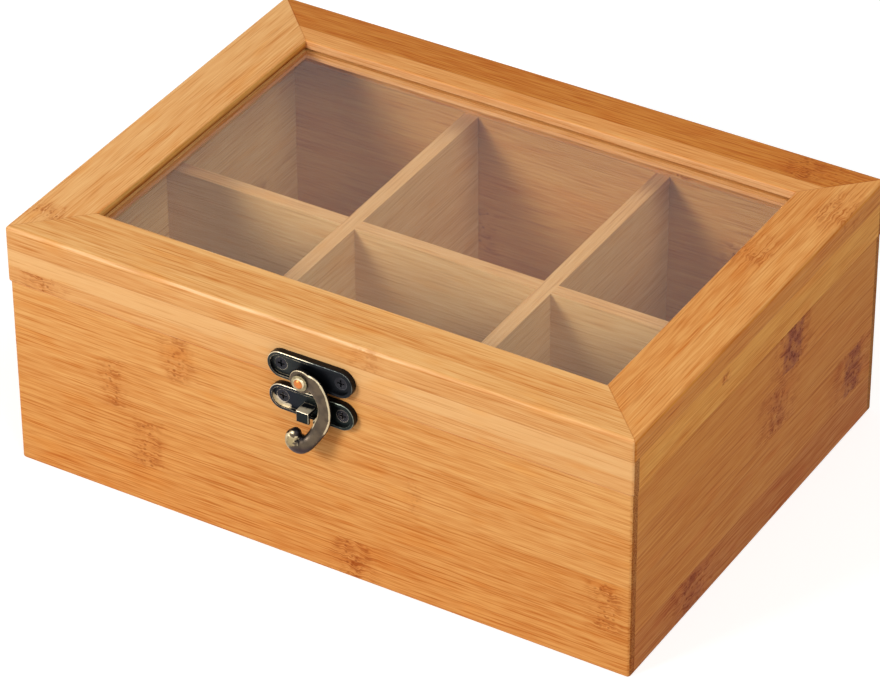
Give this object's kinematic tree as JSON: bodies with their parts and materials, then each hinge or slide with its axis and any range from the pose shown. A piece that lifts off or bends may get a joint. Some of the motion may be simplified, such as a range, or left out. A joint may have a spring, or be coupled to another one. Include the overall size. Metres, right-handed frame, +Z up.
{
  "type": "tea bag organizer box",
  "caption": "Bamboo tea bag organizer box with divided compartments, a hinged lid with a clear window, and a bronze swing hook latch on the front.",
  "frame": {"origin": "centre of the box's bottom face, on the surface it stands on", "axes": "+X along the front towards the right as seen from the front, +Y from the front to the hinges, +Z up"},
  "size_m": [0.217, 0.174, 0.086],
  "materials": {
    "bamboo": "satin clear varnish over laminated bamboo strips",
    "bamboo_inside": "sanded bamboo",
    "clear_acrylic": "clear polished sheet",
    "antique_bronze": "antique bronze plating, worn bright on its edges",
    "bronze_screw": "antique bronze plating",
    "copper_rivet": "worn copper showing through the plating"
  },
  "bodies": {
    "base": {"front_wall": "bamboo", "rear_wall": "bamboo", "left_wall": "bamboo", "right_wall": "bamboo", "bottom_panel": "bamboo", "long_divider": "bamboo_inside", "cross_divider_left": "bamboo_inside", "cross_divider_right": "bamboo_inside", "catch_plate": "antique_bronze", "catch_plate_screws": "bronze_screw", "base_hinge_leaf_left": "antique_bronze", "base_hinge_leaf_right": "antique_bronze", "hinge_pin_left": "antique_bronze", "hinge_pin_right": "antique_bronze", "base_hinge_screws": "bronze_screw"},
    "lid": {"lid_rail_front": "bamboo", "lid_rail_rear": "bamboo", "lid_rail_left": "bamboo", "lid_rail_right": "bamboo", "lid_skirt_front": "bamboo", "lid_skirt_rear": "bamboo", "lid_skirt_left": "bamboo", "lid_skirt_right": "bamboo", "window_pane": "clear_acrylic", "latch_plate": "antique_bronze", "latch_plate_screws": "bronze_screw", "latch_rivet": "copper_rivet", "lid_hinge_leaf_left": "antique_bronze", "lid_hinge_leaf_right": "antique_bronze", "lid_hinge_screws": "bronze_screw"},
    "hook": {"swing_hook": "antique_bronze"}
  },
  "joints": [
    {"name": "lid_hinge", "type": "hinge", "parent": "base", "child": "lid", "pos_m": [0, 0.0809, 0.06635], "axis": [-1, 0, 0], "range_deg": [0, 95]},
    {"name": "hook_swing", "type": "hinge", "parent": "lid", "child": "hook", "pos_m": [-0.0007, -0.0826, 0.0698], "axis": [0, -1, 0], "range_deg": [0, 180]}
  ]
}
